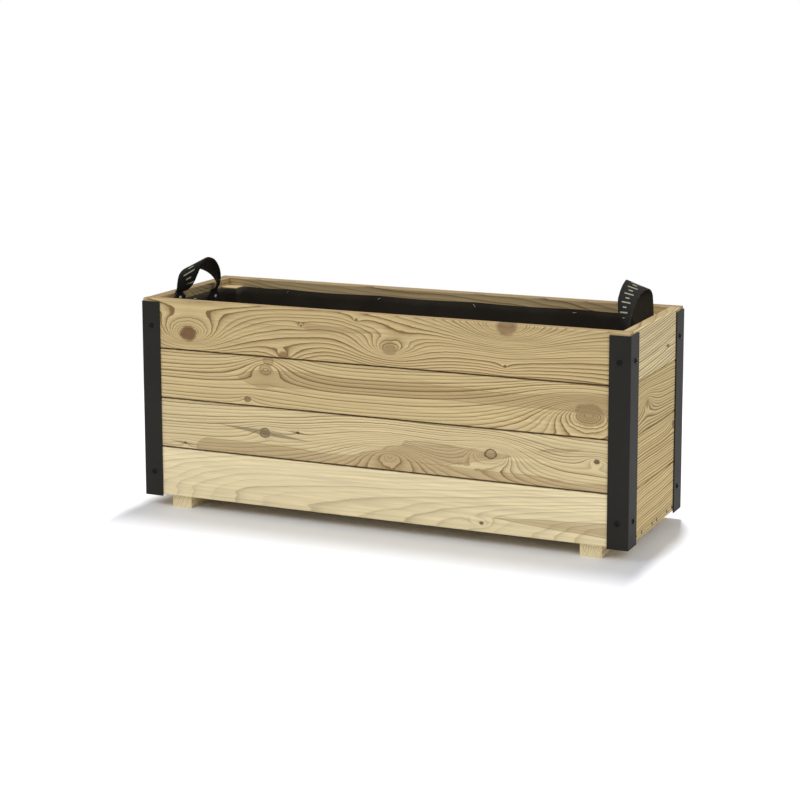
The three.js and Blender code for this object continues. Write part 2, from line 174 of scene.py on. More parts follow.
class Leg(NamedTuple):
    """One leg: its drops to its fixing and to where it opens, its widths there, how soon it opens."""

    drop: float
    dip: float
    tail_width: float
    foot_width: float = FOLDED_WIDTH
    opening: float = 1


class Bend(NamedTuple):
    """How a handle was bent by hand. Below 1, reach_power makes its legs open sooner."""

    off_middle: float
    wall_edge: Edge
    free_edge: Edge
    steep: Leg
    slope: Leg
    reach_power: float
    rise_power: float


LEFT_BEND = Bend(
    off_middle=1.5 * MM,
    wall_edge=Edge(rise=37.5 * MM, lean=37 * MM),
    free_edge=Edge(rise=57.8 * MM, lean=30 * MM),
    steep=Leg(drop=11 * MM, dip=0.5 * MM, tail_width=WEBBING_WIDTH),
    slope=Leg(drop=27 * MM, dip=16 * MM, tail_width=WEBBING_WIDTH),
    reach_power=0.56,
    rise_power=1.5,
)
RIGHT_BEND = Bend(
    off_middle=8 * MM,
    wall_edge=Edge(rise=42.5 * MM, lean=23 * MM),
    free_edge=Edge(rise=54.7 * MM, lean=32 * MM),
    steep=Leg(drop=34 * MM, dip=29 * MM, tail_width=FOLDED_WIDTH, foot_width=34 * MM, opening=2.5),
    slope=Leg(drop=34 * MM, dip=24 * MM, tail_width=FOLDED_WIDTH),
    reach_power=0.48,
    rise_power=1.4,
)


# Meshes


def add_mesh(name, points, faces):
    mesh = bpy.data.meshes.new(name)
    mesh.from_pydata(points, [], faces)
    mesh.shade_smooth()
    piece = bpy.data.objects.new(name, mesh)
    bpy.context.scene.collection.objects.link(piece)
    return piece


def ring_faces(count, size):
    """Quads between closed rings that follow each other in a list of points."""
    faces = []
    for ring in range(count - 1):
        for place in range(size):
            a = ring * size + place
            b = ring * size + (place + 1) % size
            faces.append((a, b, b + size, a + size))
    return faces


def smoothstep(value):
    value = min(max(value, 0), 1)
    return value * value * (3 - 2 * value)


def mix(a, b, share):
    return a + (b - a) * share


# Shader trees


def srgb(red, green, blue):
    """A colour written as it looks on a screen, from 0 to 255."""
    def linear(value):
        share = value / 255
        return share / 12.92 if share <= 0.04045 else ((share + 0.055) / 1.055) ** 2.4

    return (linear(red), linear(green), linear(blue), 1)


class Shader:
    """A material's node tree, written as expressions: each call adds a node and returns its output."""

    def __init__(self, name):
        self.material = bpy.data.materials.new(name)
        self.material.use_nodes = True
        self.tree = self.material.node_tree
        self.surface = self.tree.nodes["Principled BSDF"]

    def feed(self, socket, value):
        if isinstance(value, bpy.types.NodeSocket):
            self.tree.links.new(value, socket)
        else:
            socket.default_value = value

    def add(self, kind, inputs, output=0, **settings):
        node = self.tree.nodes.new("ShaderNode" + kind)
        for key, value in settings.items():
            setattr(node, key, value)
        for key, value in inputs.items():
            self.feed(node.inputs[key], value)
        return node.outputs[output]

    def math(self, operation, *values):
        return self.add("Math", dict(enumerate(values)), operation=operation)

    def sum(self, first, *rest):
        for value in rest:
            first = self.math("ADD", first, value)
        return first

    def minus(self, a, b):
        return self.math("SUBTRACT", a, b)

    def times(self, a, b):
        return self.math("MULTIPLY", a, b)

    def line(self, value, slope, start):
        return self.math("MULTIPLY_ADD", value, slope, start)

    def size(self, value):
        return self.math("ABSOLUTE", value)

    def larger(self, a, b):
        return self.math("MAXIMUM", a, b)

    def length(self, a, b):
        return self.math("SQRT", self.sum(self.times(a, a), self.times(b, b)))

    def step(self, value, low, high, start=0.0, end=1.0):
        """Runs smoothly from start to end while value runs from low to high."""
        inputs = {"Value": value, "From Min": low, "From Max": high, "To Min": start, "To Max": end}
        return self.add("MapRange", inputs, interpolation_type="SMOOTHSTEP")

    def combine(self, x, y, z):
        return self.add("CombineXYZ", {"X": x, "Y": y, "Z": z})

    def split(self, vector):
        return [self.add("SeparateXYZ", {"Vector": vector}, output=axis) for axis in range(3)]

    def place(self):
        return self.split(self.add("TexCoord", {}, output="Object"))

    def noise(self, vector, scale, detail=2.0, seed=0.0):
        """Noise about 0, mostly within half a unit."""
        inputs = {"Vector": vector, "W": seed, "Scale": scale, "Detail": detail}
        return self.minus(self.add("TexNoise", inputs, noise_dimensions="4D"), 0.5)

    def blend(self, share, a, b, how="MIX"):
        return self.add("Mix", {0: share, 6: a, 7: b}, output=2, data_type="RGBA", blend_type=how)

    def bump(self, height, strength, distance):
        return self.add("Bump", {"Height": height, "Strength": strength, "Distance": distance})

    def finish(self, **inputs):
        for key, value in inputs.items():
            self.feed(self.surface.inputs[key.replace("_", " ")], value)
        return self.material


# Pine


class Cut(NamedTuple):
    """How a board was sawn: where its pith lies and runs, the width of its rings, and its tones. On
    some boards the tone also holds painted shade, on others painted light.
    """

    pith_up: float
    pith_deep: float
    ring: float
    taper: float = 0
    slope: float = 0
    pale: float = 0
    gold: float = 0
    contrast: float = 1
    tone: float = 1
    wander: float = 1


class Knot(NamedTuple):
    """A branch through a board: its place, its radius, the rings it pushes aside, and its colour."""

    along: float
    up: float
    radius: float
    rings: float
    red: float = 0
    dark: float = 0
    eye: float = 0
    flare: float = 0
    core: float = 1


class Flame(NamedTuple):
    """A tongue of brown heartwood: its ends, its middle height, half width, rise and taper."""

    start: float
    end: float
    up: float
    half: float
    rise: float = 0
    taper: float = 1


PALE_WOOD = srgb(232, 216, 174)
DEEP_WOOD = srgb(206, 182, 136)
GOLD_WOOD = srgb(214, 192, 134)
LATE_LINE = srgb(132, 103, 64)
HEARTWOOD = srgb(160, 134, 94)
KNOT_PALE = srgb(150, 120, 80)
KNOT_RED = srgb(112, 64, 38)
KNOT_DARK = srgb(62, 46, 32)
KNOT_COVER = 0.85
KNOT_RING_COVER = 0.45
# Painted shade in the gaps where the long boards meet: a brown band along each joint, darkest at the
# joint
SEAM_SHADE_BROWN = srgb(80, 54, 22)
SEAM_SHADE_COVER = 0.85
SEAM_HALF = 1.8 * MM
SEAM_FULL = 0.2 * SEAM_HALF
SEAM_RUFFLE = 1.5 * MM

# The rim, where a surface faces up enough, is greyer and has calmer rings
RIM_TONE = srgb(186, 176, 166)
RIM_CALM = 0.65
RIM_UPWARD_FROM = 0.6
RIM_UPWARD_FULL = 0.95

# Rings: how far the pith wanders, how uneven they are, and how dark their late wood is
WANDER_UP = 45 * MM
WANDER_DEEP = 60 * MM
RING_WAVE = 7 * MM
RING_TREMOR = 0.7 * MM
RING_UNEVENNESS = 1.5
SHARP_SHARE = 0.6
FAINT_RING = 0.3
BOLD_RING = 1.1

# How many times longer than wide a feature is along the grain
FIGURE_STRETCH = 10
FIBRE_STRETCH = 40
KNOT_STRETCH = 1.25
FLOW_STRETCH = 2.3

# Knots, in radii
FLOW_REACH = 1.9
KNOT_RUFFLE = 0.7
CORE_FULL = 0.6
CORE_END = 1.1
OUTLINE_INNER_END = 0.68
OUTLINE_DARK_FROM = 0.9
OUTLINE_DARK_TO = 1
OUTLINE_OUTER_END = 1.2
FLARE_HALF = 0.8
FLARE_FULL = 0.45

# Heartwood, measured inwards from its edge
FLAME_BODY_START = -2 * MM
FLAME_BODY_FULL = 5 * MM
FLAME_RIM_START = -1 * MM
FLAME_RIM_DARK_FROM = 0.5 * MM
FLAME_RIM_DARK_TO = 1 * MM
FLAME_RIM_END = 3 * MM

# Shares and slopes
FLOW_RUFFLE = 0.07
FLARE_TILT = 0.09
FLARE_COVER = 0.65
FLAME_RUFFLE = 0.9
FLAME_COVER = 0.8
FLAME_END = 0.07
FLAME_ROUNDNESS = 0.35
HEART_COVER = 0.62
HEART_STREAK = 1.2
BLOTCH_CONTRAST = 1.2

# How far each figure changes the tone of the wood, and stands out from its surface
FIBRE_TONE = 0.3
STREAK_TONE = 0.5
BLOTCH_TONE = 0.3
LATE_RELIEF = 0.4
FIBRE_RELIEF = 0.8


class Board:
    """A board's shader and its places along the grain, up the face and into the depth.

    The grain names the axes that these follow.
    """

    def __init__(self, name, grain):
        self.s = Shader(name)
        self.seed = random.Random(name).uniform(0, 50)
        axes = dict(zip("xyz", self.s.place()))
        self.along, self.up, self.deep = (axes[axis] for axis in grain)

    def noise(self, scale, stretch=1, detail=2.0, shift=0):
        """Noise stretched along the grain. Each shift gives another one."""
        along = self.s.times(self.along, 1 / stretch)
        return self.s.noise(self.s.combine(along, self.up, self.deep), scale, detail, self.seed + shift)

    def line_noise(self, scale, shift=0):
        """Noise that changes along the grain alone."""
        return self.s.noise(self.s.combine(self.along, 0.0, 0.0), scale, seed=self.seed + shift)


def ring_count(board, cut):
    """Rings counted out from the pith."""
    s = board.s
    wander_up = s.times(board.line_noise(scale=2.4), WANDER_UP * cut.wander)
    wander_deep = s.times(board.line_noise(scale=2.8, shift=7), WANDER_DEEP * cut.wander)
    pith_up = s.sum(s.line(board.along, cut.slope, cut.pith_up), wander_up)
    pith_deep = s.sum(s.line(board.along, cut.taper, cut.pith_deep), wander_deep)
    radius = s.length(s.minus(board.up, pith_up), s.minus(board.deep, pith_deep))
    wave = s.times(board.noise(scale=34, stretch=FIGURE_STRETCH), RING_WAVE)
    tremor = s.times(board.noise(scale=130, shift=5), RING_TREMOR)
    return s.math("DIVIDE", s.sum(radius, wave, tremor), cut.ring)


def ridge(s, phase, rise_from, rise_to, fall_from):
    """Rises over part of a ring and falls at its end. The phase runs from 0 to 1 over the ring."""
    return s.times(s.step(phase, rise_from, rise_to), s.step(phase, 1.0, fall_from))


def late_wood(board, rings):
    """Each ring darkens softly, then to a sharp line, bold in some rings and faint in others."""
    s = board.s
    uneven = s.noise(s.combine(rings, 0.0, 0.0), scale=0.35, detail=1, seed=board.seed + 3)
    count = s.line(uneven, RING_UNEVENNESS, rings)
    phase = s.math("FRACT", count)
    boldness = s.add("TexWhiteNoise", {"W": s.math("FLOOR", count)}, noise_dimensions="1D")
    soft = ridge(s, phase, rise_from=0.2, rise_to=0.9, fall_from=0.94)
    sharp = ridge(s, phase, rise_from=0.7, rise_to=0.93, fall_from=0.95)
    late = s.sum(s.times(soft, 1 - SHARP_SHARE), s.times(sharp, SHARP_SHARE))
    return s.times(late, s.line(boldness, BOLD_RING - FAINT_RING, FAINT_RING))


def flare_share(s, knot, run, rise):
    """Dark wood drawn out from a knot to a point on either side, a little tilted."""
    half = FLARE_HALF * knot.radius
    narrowing = s.times(s.size(run), half / knot.flare)
    from_line = s.size(s.line(run, FLARE_TILT, rise))
    flare = s.step(s.sum(narrowing, from_line), half, FLARE_FULL * knot.radius)
    return s.times(flare, FLARE_COVER)


def knot_shares(board, knot, ruffle):
    """How many rings a knot pushes aside, and its shares of core and of dark outline."""
    s = board.s
    radius = knot.radius
    run = s.minus(board.along, knot.along)
    rise = s.minus(board.up, knot.up)
    flow = s.length(s.math("DIVIDE", run, FLOW_STRETCH), rise)
    lift = s.times(s.math("EXPONENT", s.math("DIVIDE", flow, -FLOW_REACH * radius)), knot.rings)
    lift = s.times(lift, s.line(ruffle, FLOW_RUFFLE, 1.0))
    from_middle = s.length(s.math("DIVIDE", run, KNOT_STRETCH), rise)
    away = s.line(ruffle, KNOT_RUFFLE * radius, from_middle)
    core = s.step(away, CORE_END * radius, CORE_FULL * radius, end=knot.core)
    outer_half = s.step(away, OUTLINE_OUTER_END * radius, OUTLINE_DARK_TO * radius)
    inner_half = s.step(away, OUTLINE_INNER_END * radius, OUTLINE_DARK_FROM * radius)
    outline = s.times(s.times(outer_half, inner_half), knot.eye)
    if knot.flare:
        outline = s.larger(outline, flare_share(s, knot, run, rise))
    return lift, core, outline


def flame_share(board, flame, ruffle):
    """Heartwood with one round end, which tapers to its other end and has a darker rim."""
    s = board.s
    share = s.math("DIVIDE", s.minus(board.along, flame.start), flame.end - flame.start)
    round_end = s.math("POWER", s.step(share, 0.0, FLAME_END), FLAME_ROUNDNESS)
    swell = s.times(round_end, s.line(share, -flame.taper, 1.0))
    middle = s.line(share, flame.rise, flame.up)
    away = s.line(ruffle, FLAME_RUFFLE * flame.half, s.size(s.minus(board.up, middle)))
    inside = s.minus(s.times(swell, flame.half), away)
    body = s.step(inside, FLAME_BODY_START, FLAME_BODY_FULL, end=FLAME_COVER)
    outer_half = s.step(inside, FLAME_RIM_START, FLAME_RIM_DARK_FROM)
    inner_half = s.step(inside, FLAME_RIM_END, FLAME_RIM_DARK_TO)
    return s.larger(body, s.times(outer_half, inner_half))


def joint_heights(name):
    """Heights of the edges at which a long board meets the next one."""
    low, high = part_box(name)
    return [edge.z for edge, last_row in ((low, "1"), (high, "4")) if not name.endswith(last_row)]


def pine(name, grain, cut, knots=(), flames=()):
    """One board's pine: its rings, with the knots and heartwood that show on it."""
    board = Board(name, grain)
    s = board.s
    rings = ring_count(board, cut)
    ruffle = board.noise(scale=90, shift=9)
    core, red, dark, outline = 0.0, 0.0, 0.0, 0.0
    for knot in knots:
        lift, knot_core, knot_outline = knot_shares(board, knot, ruffle)
        rings = s.sum(rings, lift)
        core = s.larger(core, knot_core)
        outline = s.larger(outline, knot_outline)
        red = s.line(knot_core, knot.red, red)
        dark = s.line(knot_core, knot.dark, dark)
    slow_ruffle = board.noise(scale=60, stretch=FIGURE_STRETCH, shift=13)
    heart = 0.0
    for flame in flames:
        heart = s.larger(heart, flame_share(board, flame, slow_ruffle))
    late = late_wood(board, rings)
    fibre = board.noise(scale=1400, stretch=FIBRE_STRETCH, detail=3)
    streak = board.noise(scale=260, stretch=FIBRE_STRETCH, shift=17)
    blotch = board.noise(scale=16, stretch=FIGURE_STRETCH, shift=11)

    strength = s.times(s.line(blotch, BLOTCH_CONTRAST, 1.0), cut.contrast)
    on_top_row = name.endswith("board_4")
    if on_top_row:
        upward = s.split(s.add("NewGeometry", {}, output="Normal"))[2]
        rim = s.step(upward, RIM_UPWARD_FROM, RIM_UPWARD_FULL)
        strength = s.times(strength, s.line(rim, -RIM_CALM, 1.0))
    ground = s.blend(cut.gold, s.blend(cut.pale, DEEP_WOOD, PALE_WOOD), GOLD_WOOD)
    ground = s.blend(s.times(heart, s.line(streak, HEART_STREAK, HEART_COVER)), ground, HEARTWOOD)
    wood = s.blend(s.times(late, strength), ground, LATE_LINE)
    stub = s.blend(dark, s.blend(red, KNOT_PALE, KNOT_RED), KNOT_DARK)
    stub = s.blend(s.times(late, KNOT_RING_COVER), stub, KNOT_DARK)
    wood = s.blend(s.times(core, KNOT_COVER), wood, stub)
    wood = s.blend(s.times(outline, KNOT_COVER), wood, KNOT_DARK)
    # The board's tone, which on some boards is painted shade and on others painted light, varied by
    # fibres, streaks and blotches
    tone = s.sum(cut.tone, s.times(fibre, FIBRE_TONE), s.times(streak, STREAK_TONE))
    tone = s.line(blotch, BLOTCH_TONE, tone)
    wood = s.blend(1.0, wood, s.combine(tone, tone, tone), how="MULTIPLY")
    # Painted shade in the gaps between the long boards: a brown band along each joint
    if name.startswith(("front_board", "back_board")):
        for height in joint_heights(name):
            away = s.line(ruffle, SEAM_RUFFLE, s.size(s.minus(board.up, height)))
            seam_shade = s.step(away, SEAM_HALF, SEAM_FULL, end=SEAM_SHADE_COVER)
            wood = s.blend(seam_shade, wood, SEAM_SHADE_BROWN)
    if on_top_row:
        wood = s.blend(rim, wood, s.blend(1.0, wood, RIM_TONE, how="MULTIPLY"))

    relief = s.sum(s.times(late, LATE_RELIEF), s.times(fibre, FIBRE_RELIEF))
    roughness = s.line(late, slope=-0.1, start=0.74)
    normal = s.bump(relief, strength=0.22, distance=0.3 * MM)
    return s.finish(Base_Color=wood, Roughness=roughness, Normal=normal, Specular_IOR_Level=0.25)


def end_cut(pith_up, pale, gold=0.85, tone=1):
    """Straight close grain: the pith is far from the board."""
    return Cut(
        pith_up, pith_deep=END_FACE - 0.08, ring=4.6 * MM, slope=0.03,
        pale=pale, gold=gold, contrast=2.3, tone=tone, wander=0.7,
    )


SEEN_CUTS = {
    "front_board_4": Cut(
        pith_up=0.255, pith_deep=FRONT_FACE + 0.05, ring=5.4 * MM, taper=0.03,
        gold=0.35, contrast=1.6, tone=0.98, wander=0.6,
    ),
    "front_board_3": Cut(
        pith_up=0.34, pith_deep=FRONT_FACE + 0.03, ring=6 * MM,
        pale=0.25, gold=0.4, contrast=1.5, wander=0.4,
    ),
    "front_board_2": Cut(
        pith_up=0.23, pith_deep=FRONT_FACE + 0.04, ring=5.4 * MM,
        pale=0.6, gold=0.2, contrast=1.15, wander=0.5,
    ),
    "front_board_1": Cut(
        pith_up=0.03, pith_deep=FRONT_FACE + 0.075, ring=4.6 * MM, taper=-0.08,
        pale=1, contrast=0.42, tone=1.04, wander=0.5,
    ),
    # Tone below 1: painted shade on the inner face of the back wall
    "back_board_4": Cut(
        pith_up=0.33, pith_deep=INSIDE_Y + 0.06, ring=5 * MM, taper=0.04, tone=0.8,
    ),
    # Tone below 1: painted shade on the inner face of the left end wall
    "left_end_board_4": Cut(
        pith_up=0.42, pith_deep=-INSIDE_X - 0.06, ring=5 * MM, taper=0.1, tone=0.72,
    ),
    # Paler and brighter than the end boards below it: painted light on the top of this end
    "right_end_board_4": end_cut(0.6, pale=1, gold=0.35, tone=1.06),
    "right_end_board_3": end_cut(0.55, pale=0.3),
    "right_end_board_2": end_cut(0.5, pale=0.15),
    "right_end_board_1": end_cut(-0.2, pale=0.1),
}
SEEN_KNOTS = {
    "front_board_4": [
        Knot(along=-0.3575, up=0.318, radius=15 * MM, rings=21, red=0.9, dark=0.15),
        Knot(along=-0.1704, up=0.293, radius=9 * MM, rings=5, red=0.2, dark=0.1),
        Knot(along=-0.1356, up=0.3477, radius=2.2 * MM, rings=1.5, red=0.2, dark=0.6, eye=0.5),
        Knot(along=-0.0316, up=0.3646, radius=2.4 * MM, rings=1.5, red=0.2, dark=0.3, eye=0.8),
        Knot(along=0.0295, up=0.3204, radius=11 * MM, rings=12, red=0.35, dark=0.1, eye=0.3, core=0.6),
        Knot(along=0.238, up=0.372, radius=17 * MM, rings=22, red=0.4, dark=0.3, core=0.8),
        Knot(along=0.236, up=0.306, radius=3 * MM, rings=2, red=0.2, dark=0.85),
    ],
    "front_board_3": [
        Knot(along=-0.2, up=0.281, radius=8 * MM, rings=4, red=0.05, dark=0.1, eye=0.4, core=0.5),
        Knot(along=-0.2054, up=0.266, radius=9 * MM, rings=6, red=0.05, eye=0.5, core=0.4),
        Knot(along=-0.241, up=0.2108, radius=5 * MM, rings=2, red=0.1, dark=0.1, eye=0.8),
        Knot(along=0.381, up=0.2377, radius=18 * MM, rings=22, eye=0.3, core=0.7),
    ],
    "front_board_2": [
        Knot(along=-0.2081, up=0.1542, radius=8 * MM, rings=4, dark=0.1, eye=0.9, flare=0.11, core=0.7),
        Knot(along=-0.1441, up=0.1601, radius=3 * MM, rings=1, red=0.3, dark=0.9, flare=0.03),
        Knot(along=0.03, up=0.136, radius=26 * MM, rings=16, core=0),
        Knot(along=0.2117, up=0.1578, radius=8 * MM, rings=18, red=0.1, dark=0.1, eye=0.9, core=0.5),
        Knot(along=0.3949, up=0.1624, radius=5 * MM, rings=5, red=0.4, dark=0.8),
        Knot(along=-0.3673, up=0.1217, radius=3 * MM, rings=2, red=0.2, dark=0.5, flare=0.04),
    ],
    "front_board_1": [
        Knot(along=0.1959, up=0.0391, radius=3.6 * MM, rings=2.5, red=0.4, dark=0.75),
    ],
    "left_end_board_4": [
        Knot(along=-0.045, up=0.366, radius=9 * MM, rings=5, red=0.9, dark=0.2),
    ],
    "right_end_board_4": [
        Knot(along=0.061, up=0.321, radius=4 * MM, rings=1, red=0.3, dark=0.2, flare=0.02),
    ],
    "right_end_board_3": [
        Knot(along=-0.05, up=0.243, radius=9 * MM, rings=7, red=0.3, dark=0.1, core=0.6),
    ],
    "right_end_board_2": [
        Knot(along=0.1, up=0.18, radius=5 * MM, rings=3, red=0.3, dark=0.2, eye=0.7),
    ],
}
SEEN_FLAMES = {
    "front_board_4": [
        Flame(start=-0.13, end=0.02, up=0.345, half=7 * MM),
    ],
    "front_board_3": [
        Flame(start=-0.262, end=0.5, up=0.25, half=15 * MM, rise=4 * MM, taper=0.35),
        Flame(start=0.5, end=0.1, up=0.256, half=22 * MM),
    ],
    "front_board_2": [
        Flame(start=-0.345, end=0.02, up=0.116, half=20 * MM, taper=0.3),
        Flame(start=0.09, end=-0.14, up=0.14, half=28 * MM, rise=-33 * MM),
        Flame(start=0.045, end=0.25, up=0.14, half=28 * MM, rise=18 * MM),
    ],
    "front_board_1": [
        Flame(start=0.46, end=0.2, up=0.05, half=16 * MM),
    ],
}


def random_cut(name, grain, low, high):
    """A cut and up to two knots for a board that the photograph doesn't show well."""
    chance = random.Random(name)
    along, up, deep = ("xyz".index(axis) for axis in grain)
    middle = (low + high) / 2
    cut = Cut(
        pith_up=middle[up] + chance.uniform(-0.03, 0.03),
        pith_deep=middle[deep] + chance.choice((-1, 1)) * chance.uniform(0.03, 0.07),
        taper=chance.uniform(-0.06, 0.06),
        ring=chance.uniform(4.5, 6) * MM,
        pale=chance.uniform(0, 0.7),
        gold=chance.uniform(0, 0.5),
        contrast=0.8,
        wander=0.6,
    )
    knots = [
        Knot(
            along=chance.uniform(low[along], high[along]),
            up=chance.uniform(low[up], high[up]),
            radius=chance.uniform(3, 10) * MM,
            rings=chance.uniform(3, 6),
            red=chance.uniform(0.1, 0.6),
            dark=chance.uniform(0.1, 0.6),
            eye=chance.uniform(0, 0.8),
        )
        for count in range(chance.randint(0, 2))
    ]
    return cut, knots


# The axes along, up and deep of each kind of timber
GRAINS = {
    "front_board": "xzy",
    "back_board": "xzy",
    "left_end_board": "yzx",
    "right_end_board": "yzx",
    "corner_post": "zxy",
    "foot": "yzx",
    "floor_board": "xyz",
}


def board_material(name, grain):
    if name in SEEN_CUTS:
        return pine(name, grain, SEEN_CUTS[name], SEEN_KNOTS.get(name, ()), SEEN_FLAMES.get(name, ()))
    cut, knots = random_cut(name, grain, *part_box(name))
    if name.startswith("foot"):
        # Tone above 1: painted light on the feet
        return pine(name, grain, cut._replace(ring=4 * MM, pale=1, gold=0, contrast=0.45, tone=1.1))
    if name.startswith("corner_post"):
        return pine(name, grain, cut._replace(ring=4 * MM, pale=0.3, gold=0.3, tone=0.7))
    return pine(name, grain, cut, knots)


# Other materials


def powder_coat():
    s = Shader("powder_coat")
    position = s.combine(*s.place())
    grit = s.noise(position, scale=1400)
    cloud = s.noise(position, scale=14, detail=3)
    colour = s.blend(s.sum(cloud, 0.5), srgb(35, 34, 31), srgb(43, 42, 38))
    roughness = s.line(grit, slope=0.2, start=0.55)
    normal = s.bump(grit, strength=0.25, distance=0.1 * MM)
    return s.finish(Base_Color=colour, Roughness=roughness, Normal=normal, Specular_IOR_Level=0.1)


def black_steel():
    s = Shader("black_steel")
    wear = s.noise(s.combine(*s.place()), scale=500, detail=3)
    colour = s.blend(s.step(wear, 0.0, 0.3), srgb(10, 10, 10), srgb(28, 28, 27))
    roughness = s.line(wear, slope=0.25, start=0.3)
    return s.finish(Base_Color=colour, Roughness=roughness, Specular_IOR_Level=0.15)


def zinc():
    s = Shader("zinc")
    spangle = s.noise(s.combine(*s.place()), scale=700)
    colour = s.blend(s.sum(spangle, 0.5), srgb(140, 141, 138), srgb(190, 190, 182))
    roughness = s.line(spangle, slope=0.2, start=0.45)
    return s.finish(Base_Color=colour, Roughness=roughness, Metallic=0.9)


def liner_cloth():
    """A felted fleece: short fibres in every direction."""
    s = Shader("liner_cloth")
    position = s.combine(*s.place())
    fibre = s.noise(position, scale=900, detail=4)
    cloud = s.noise(position, scale=22, detail=3)
    colour = s.blend(s.sum(0.5, fibre, cloud), srgb(26, 23, 18), srgb(52, 46, 37))
    normal = s.bump(fibre, strength=0.6, distance=0.5 * MM)
    return s.finish(Base_Color=colour, Roughness=0.92, Normal=normal, Specular_IOR_Level=0.2)


STROKE_PITCH = 11 * MM
STROKE_WIDTH = 2.8 * MM
STROKE_BLUR = 0.4 * MM
TALL_STROKE = 20 * MM
SHORT_STROKE = 9 * MM
STROKE_SLANT = 0.25
STROKES_REACH = 82 * MM
STROKE_COVER = 0.8
STROKE_CREAM = srgb(176, 174, 150)
YARN_PITCH = 1.3 * MM


def woven_strokes(s, along, up):
    """Strokes across the webbing, tall and short by turns, near the middle of its length."""
    cell = s.math("DIVIDE", along, STROKE_PITCH)
    by_turns = s.math("FLOORED_MODULO", s.math("FLOOR", cell), 2.0)
    half_stroke = s.line(by_turns, (SHORT_STROKE - TALL_STROKE) / 2, TALL_STROKE / 2)
    from_middle = s.times(s.minus(s.math("FRACT", cell), 0.5), STROKE_PITCH)
    from_stroke = s.size(s.minus(from_middle, s.times(up, STROKE_SLANT)))
    past_end = s.minus(s.size(up), half_stroke)
    beside = s.step(from_stroke, 0.6 * STROKE_WIDTH, 0.4 * STROKE_WIDTH)
    stroke = s.times(beside, s.step(past_end, STROKE_BLUR, -STROKE_BLUR))
    return s.times(s.math("LESS_THAN", s.size(along), STROKES_REACH), stroke)


def webbing():
    """Black webbing with a paler inner face, and cream strokes woven into its outer face.

    The first coordinate is the length from the middle of the strap. The outer face is the one where
    the second runs from 0 to 1.
    """
    s = Shader("webbing")
    along, across, _ = s.split(s.add("TexCoord", {}, output="UV"))
    up = s.times(s.minus(across, 0.5), WEBBING_WIDTH)
    yarn = s.math("SINE", s.times(up, 2 * math.pi / YARN_PITCH))
    pick = s.math("SINE", s.times(along, 2 * math.pi / YARN_PITCH))
    weave = s.times(yarn, pick)
    on_outer_face = s.math("LESS_THAN", across, (1 + INNER_FACE_SHIFT) / 2)
    mark = s.times(on_outer_face, woven_strokes(s, along, up))
    fuzz = s.noise(s.combine(along, up, 0.0), scale=1200)
    shade = s.sum(0.5, s.times(weave, 0.3), fuzz)
    outer = s.blend(shade, srgb(10, 10, 9), srgb(32, 31, 27))
    inner = s.blend(shade, srgb(28, 26, 22), srgb(72, 66, 56))
    ground = s.blend(on_outer_face, inner, outer)
    colour = s.blend(s.times(mark, STROKE_COVER), ground, STROKE_CREAM)
    normal = s.bump(weave, strength=0.5, distance=0.3 * MM)
    return s.finish(Base_Color=colour, Roughness=0.88, Normal=normal, Specular_IOR_Level=0.15)


# Liner


class Corner(NamedTuple):
    """A corner of the liner in plan, its radius, and the spans from it to the next one."""

    at: Vector
    radius: float
    spans: int


def liner_corners():
    wall_x, wall_y = INSIDE_X - LINER_CLEARANCE, INSIDE_Y - LINER_CLEARANCE
    post_x, post_y = POST_X - LINER_CLEARANCE, POST_Y - LINER_CLEARANCE

    def round_post(side_x, side_y):
        return [
            Corner(Vector((side_x * post_x, side_y * wall_y)), LINER_WALL_RADIUS, LINER_POST_SPANS),
            Corner(Vector((side_x * post_x, side_y * post_y)), LINER_POST_RADIUS, LINER_POST_SPANS),
            Corner(Vector((side_x * wall_x, side_y * post_y)), LINER_WALL_RADIUS, LINER_POST_SPANS),
        ]

    def then_wall(corners, spans):
        return [*corners[:-1], corners[-1]._replace(spans=spans)]

    return [
        *then_wall(round_post(1, -1), LINER_END_SPANS),
        *then_wall(round_post(1, 1)[::-1], LINER_SIDE_SPANS),
        *then_wall(round_post(-1, 1), LINER_END_SPANS),
        *then_wall(round_post(-1, -1)[::-1], LINER_SIDE_SPANS),
    ]


def liner_outline():
    """Points of the outline with rounded corners, each with the way into the bag."""
    corners = liner_corners()
    outline = []
    for place, corner in enumerate(corners):
        before, after = corners[place - 1], corners[(place + 1) % len(corners)]
        arriving = (corner.at - before.at).normalized()
        leaving = (after.at - corner.at).normalized()
        into_before = Vector((-arriving.y, arriving.x))
        into_after = Vector((-leaving.y, leaving.x))
        outwards = -corner.radius if arriving.cross(leaving) > 0 else corner.radius
        centre = corner.at + (leaving - arriving) * corner.radius
        for step in range(LINER_ROUND_STEPS + 1):
            angle = step / LINER_ROUND_STEPS * math.pi / 2
            into = into_before * math.cos(angle) + into_after * math.sin(angle)
            outline.append((centre + into * outwards, into))
        start, end = outline[-1][0], after.at - leaving * after.radius
        for step in range(1, corner.spans):
            outline.append((start.lerp(end, step / corner.spans), into_after))
    return outline


def fold_at(point):
    """0 at a staple, beside a post and on the end walls; 1 at the middle of a fold."""
    if abs(point.y) < (INSIDE_Y + POST_Y) / 2:
        return 0
    from_staple = (point.x - STAPLE_SHIFT) / STAPLE_PITCH - 0.5
    return abs(math.sin(math.pi * from_staple)) * smoothstep((POST_X - abs(point.x)) / LINER_FOLD_TAPER)


def wrinkle_at(x, share):
    fine = math.sin(x * FINE_WRINKLE + share * FINE_DRIFT)
    broad = math.sin(x * BROAD_WRINKLE - share * BROAD_DRIFT)
    return fine * broad ** 2


